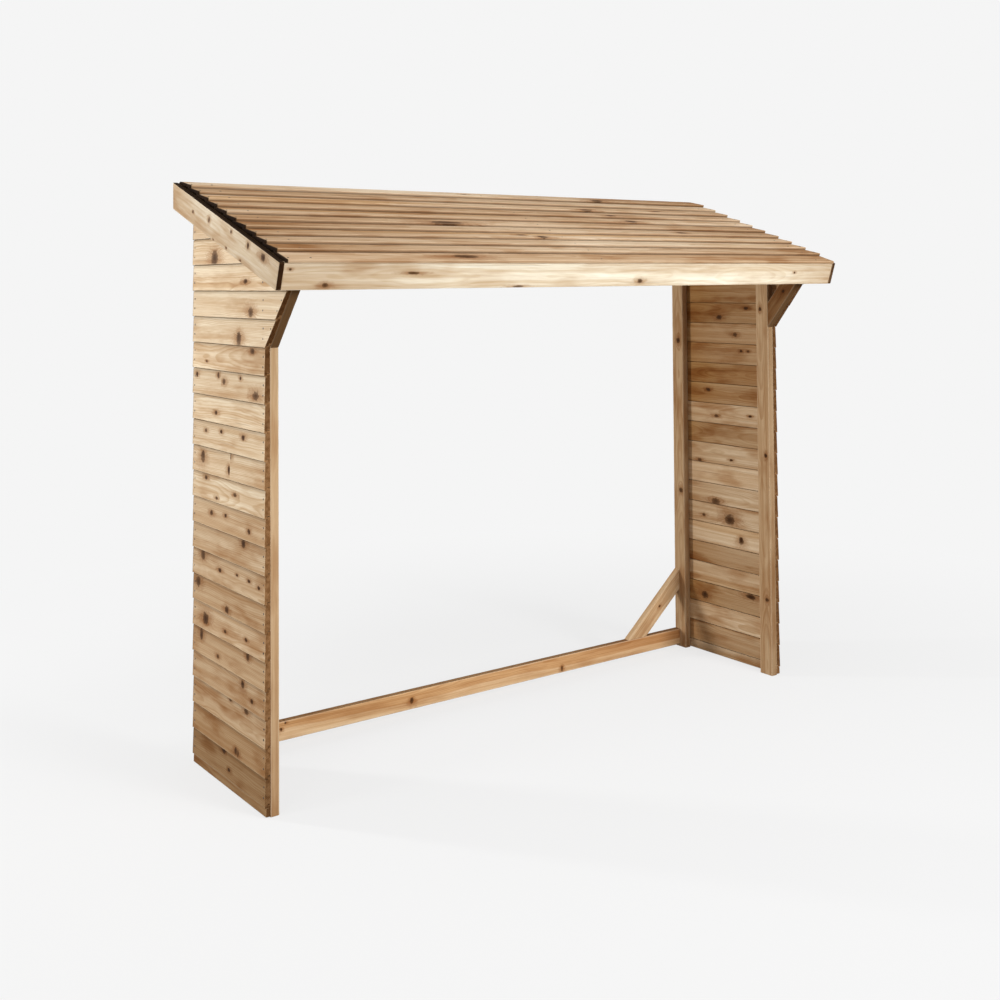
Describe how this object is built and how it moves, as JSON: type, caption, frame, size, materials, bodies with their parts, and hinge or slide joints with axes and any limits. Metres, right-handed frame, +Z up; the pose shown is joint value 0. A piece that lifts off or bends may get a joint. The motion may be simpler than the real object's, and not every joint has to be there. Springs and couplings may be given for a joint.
{
  "type": "log store",
  "caption": "Open-fronted timber log store with lapped-board end walls, a lean-to lapped-board roof, eaves braces and a low rear rail.",
  "frame": {"origin": "on the ground, under the centre of the bounding box", "axes": "+X along the eaves to the right seen from the open front, +Y from the open front to the side that stands against a wall, +Z up"},
  "size_m": [2.246, 0.8128, 1.8562],
  "materials": {
    "frame_timber": "planed softwood, satin",
    "wall_boards": "planed softwood, knotty",
    "roof_boards": "planed softwood, knotty",
    "roof_trim": "planed softwood, pale"
  },
  "bodies": {
    "root": {"front_fascia": "roof_trim", "left_barge_board": "roof_trim", "left_eaves_brace": "frame_timber", "left_front_post": "frame_timber", "left_rafter": "frame_timber", "left_rear_post": "frame_timber", "left_roof_bearer": "frame_timber", "left_wall_boards": "wall_boards", "middle_rafter": "frame_timber", "rear_bottom_rail": "frame_timber", "rear_top_rail": "frame_timber", "right_barge_board": "roof_trim", "right_corner_brace": "frame_timber", "right_eaves_brace": "frame_timber", "right_front_post": "frame_timber", "right_rafter": "frame_timber", "right_rear_post": "frame_timber", "right_roof_bearer": "frame_timber", "right_wall_boards": "wall_boards", "roof_board_01": "roof_boards", "roof_board_02": "roof_boards", "roof_board_03": "roof_boards", "roof_board_04": "roof_boards", "roof_board_05": "roof_boards", "roof_board_06": "roof_boards", "roof_board_07": "roof_boards", "roof_board_08": "roof_boards", "roof_board_09": "roof_boards", "roof_board_10": "roof_boards", "roof_board_11": "roof_boards"}
  },
  "joints": []
}
